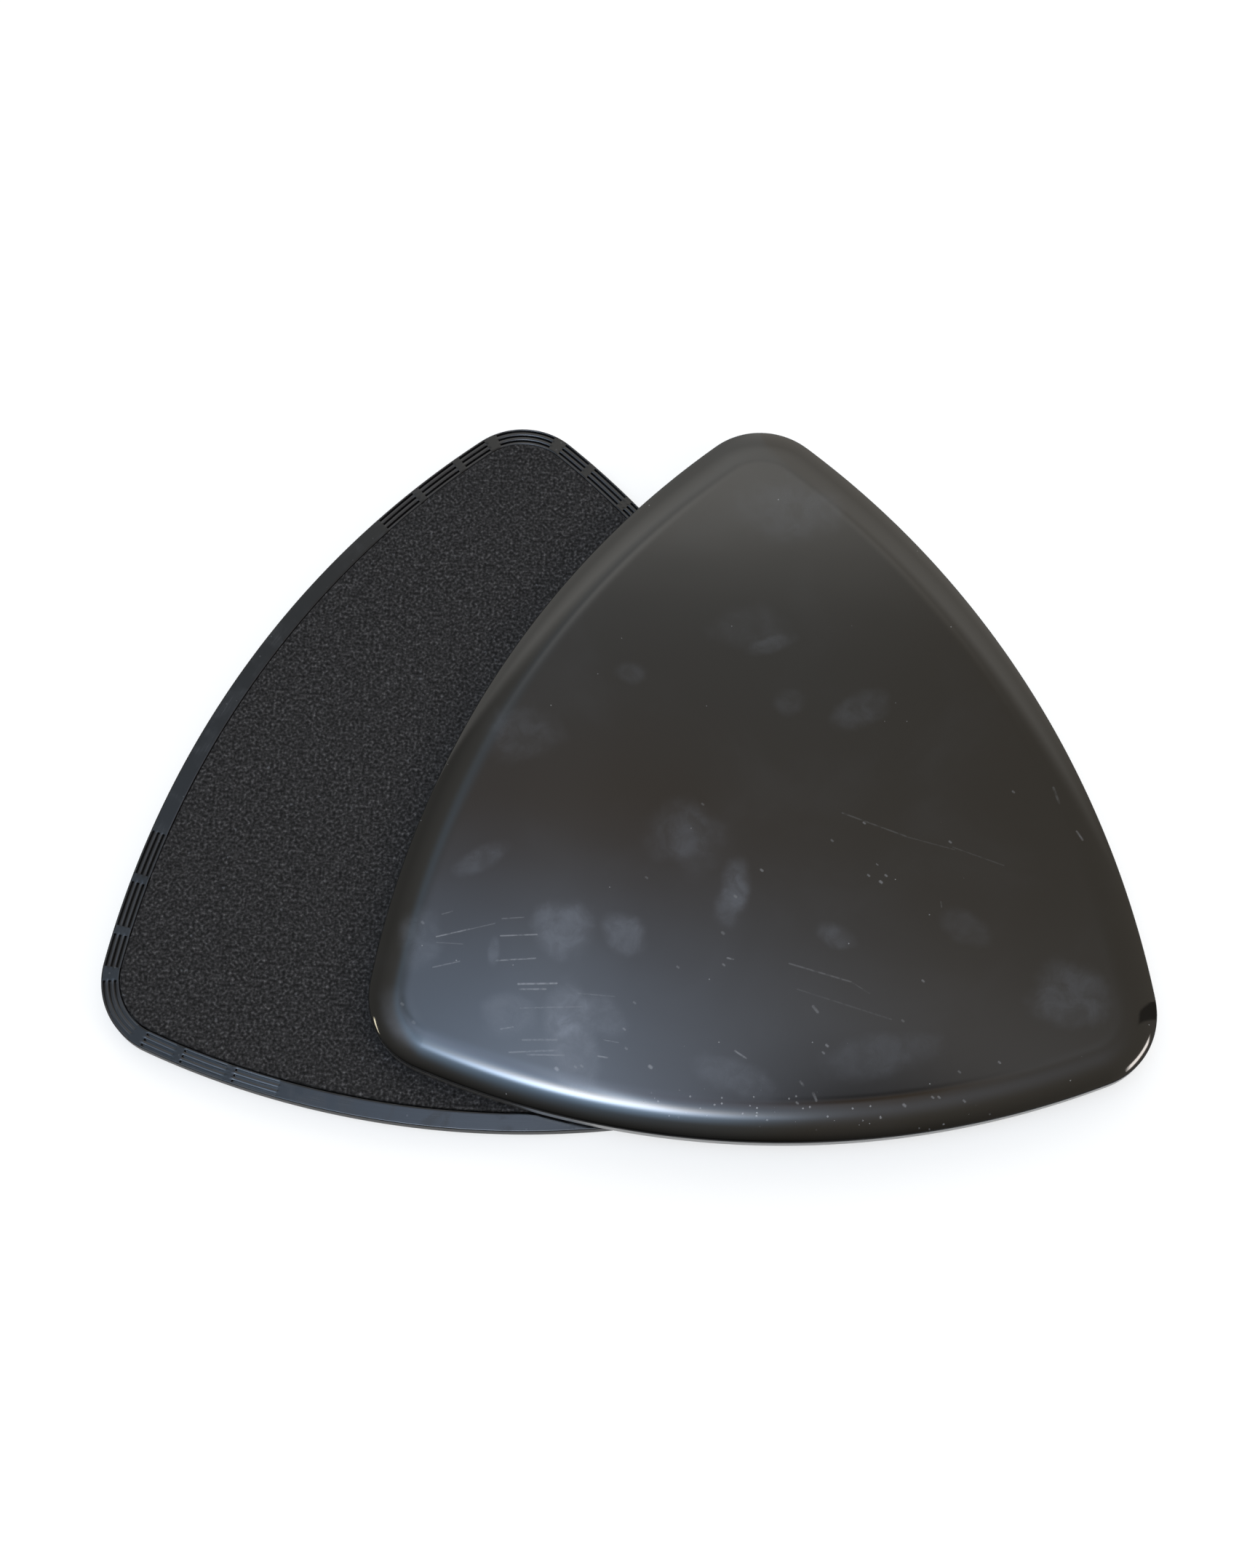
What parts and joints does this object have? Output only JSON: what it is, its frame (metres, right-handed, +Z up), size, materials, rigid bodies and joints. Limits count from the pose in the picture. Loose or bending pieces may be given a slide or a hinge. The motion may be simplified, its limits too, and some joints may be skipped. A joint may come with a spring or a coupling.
{
  "type": "gliding disc pair",
  "caption": "Rounded-triangle gliding discs for floor exercise, stacked offset: glossy moulded shells with a flat glide face, a rolled edge and a foam pad glued into the back.",
  "frame": {"origin": "centre of the lower disc's glide face, on the surface that the pair lies on", "axes": "+Z up, square to the discs; +Y from that centre towards the middle of the lower disc's far corner; +X from the lower disc towards the upper one"},
  "size_m": [0.3064, 0.2211, 0.0179],
  "materials": {
    "shell_plastic": "gloss",
    "pad_foam": "matte",
    "pad_adhesive": "satin"
  },
  "bodies": {
    "lower_disc": {"lower_shell": "shell_plastic", "lower_pad_film": "pad_adhesive", "lower_foam_pad": "pad_foam"},
    "upper_disc": {"upper_shell": "shell_plastic", "upper_pad_film": "pad_adhesive", "upper_foam_pad": "pad_foam"}
  },
  "joints": [
    {"name": "upper_disc_lift", "type": "slide", "parent": "lower_disc", "child": "upper_disc", "axis": [0, 0, 1], "range_m": [0, 0.06]}
  ]
}
